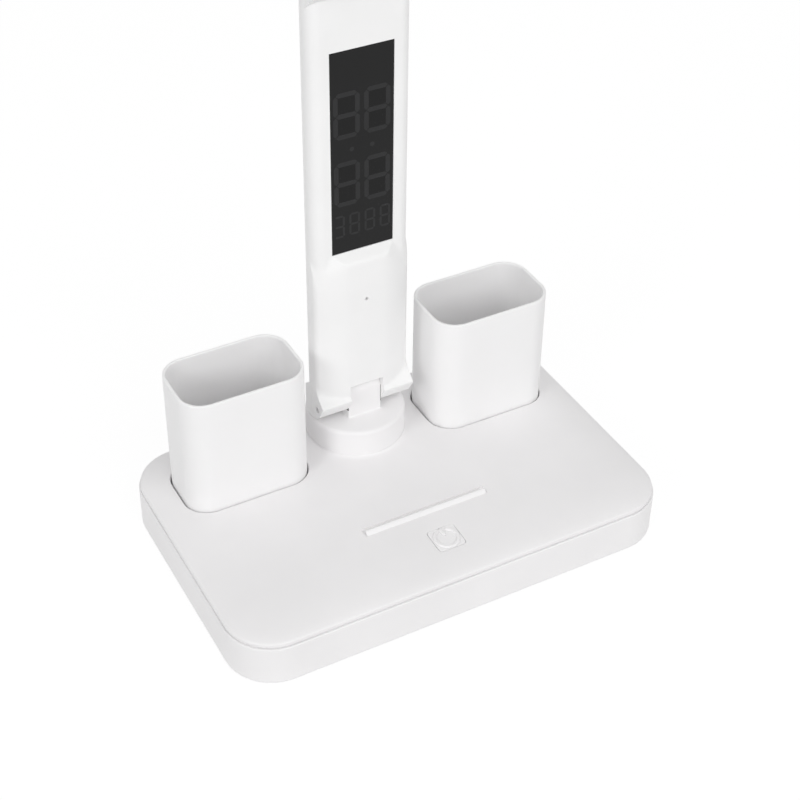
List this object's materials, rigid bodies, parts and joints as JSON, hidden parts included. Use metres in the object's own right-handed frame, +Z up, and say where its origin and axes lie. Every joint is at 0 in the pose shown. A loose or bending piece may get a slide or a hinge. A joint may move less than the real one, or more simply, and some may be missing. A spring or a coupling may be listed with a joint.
{
  "type": "desk lamp with pen cups and clock",
  "caption": "Folding desk lamp: flat rounded base with two lift-out pen cups, phone rib and touch key, swivelling clock arm and a tilting light bar.",
  "frame": {"origin": "on the desk, under the centre of the base's footprint", "axes": "+X to the lamp's right as its user sees it, +Y from the base's front edge to its back edge, +Z up"},
  "size_m": [0.21, 0.1804, 0.388],
  "materials": {
    "shell_white": "satin injection-moulded ABS",
    "cup_white": "satin injection-moulded ABS",
    "key_white": "satin ABS",
    "pad_grey": "matte",
    "steel": "zinc-plated",
    "zinc_steel": "zinc-plated sheet",
    "spring_steel": "bright",
    "cell_wrap": "heat-shrink wrap",
    "black_plastic": "matte",
    "board_green": "solder mask",
    "board_white": "white solder mask",
    "display_black": "smoked glossy acrylic",
    "diffuser_white": "opal, frosted",
    "clear_acrylic": "clear, dot-printed",
    "reflector_white": "white film"
  },
  "bodies": {
    "base": {"base_top_cover": "shell_white", "base_bottom_cover": "shell_white", "non_slip_pad": "pad_grey", "base_screws": "steel", "base_weight": "zinc_steel", "battery_cell": "cell_wrap", "battery_holder": "black_plastic", "control_board": "board_green", "board_standoffs": "shell_white", "charging_board": "board_green", "usb_socket": "steel", "touch_key": "key_white", "touch_spring": "spring_steel", "swivel_glide_ring": "black_plastic"},
    "left_cup": {"left_pen_cup": "cup_white"},
    "right_cup": {"right_pen_cup": "cup_white"},
    "turntable": {"turntable": "shell_white", "swivel_retainer": "zinc_steel", "swivel_retainer_screws": "steel", "lower_hinge_pin": "steel", "lower_hinge_washers": "black_plastic"},
    "arm": {"arm_front_shell": "shell_white", "arm_back_shell": "shell_white", "arm_screws": "steel", "display_lens": "display_black", "display_module": "black_plastic", "clock_board": "board_green", "alarm_sounder": "black_plastic", "key_switches": "black_plastic", "upper_hinge_pin": "steel"},
    "mode_button": {"mode_button": "key_white"},
    "up_button": {"up_button": "key_white"},
    "down_button": {"down_button": "key_white"},
    "light_bar": {"light_bar_frame": "shell_white", "light_bar_back": "shell_white", "diffuser": "diffuser_white", "light_guide": "clear_acrylic", "reflector_sheet": "reflector_white", "led_strips": "board_white", "light_bar_screws": "steel"}
  },
  "joints": [
    {"name": "left_cup_lift", "type": "slide", "parent": "base", "child": "left_cup", "axis": [0, 0, 1], "range_m": [0, 0.08]},
    {"name": "right_cup_lift", "type": "slide", "parent": "base", "child": "right_cup", "axis": [0, 0, 1], "range_m": [0, 0.08]},
    {"name": "turntable_swivel", "type": "hinge", "parent": "base", "child": "turntable", "pos_m": [0, 0.04, 0.0268], "axis": [0, 0, 1], "range_deg": [-20, 20]},
    {"name": "arm_fold", "type": "hinge", "parent": "turntable", "child": "arm", "pos_m": [0, 0.0324, 0.05], "axis": [1, 0, 0], "range_deg": [0, 60]},
    {"name": "light_bar_fold", "type": "hinge", "parent": "arm", "child": "light_bar", "pos_m": [0, 0.0294, 0.258], "axis": [1, 0, 0], "range_deg": [-50, 130]},
    {"name": "mode_button_press", "type": "slide", "parent": "arm", "child": "mode_button", "axis": [0, -1, 0], "range_m": [0, 0.0006], "stiffness_N_per_m": 400, "springref_m": -0.0005},
    {"name": "up_button_press", "type": "slide", "parent": "arm", "child": "up_button", "axis": [0, -1, 0], "range_m": [0, 0.0006], "stiffness_N_per_m": 400, "springref_m": -0.0005},
    {"name": "down_button_press", "type": "slide", "parent": "arm", "child": "down_button", "axis": [0, -1, 0], "range_m": [0, 0.0006], "stiffness_N_per_m": 400, "springref_m": -0.0005}
  ]
}
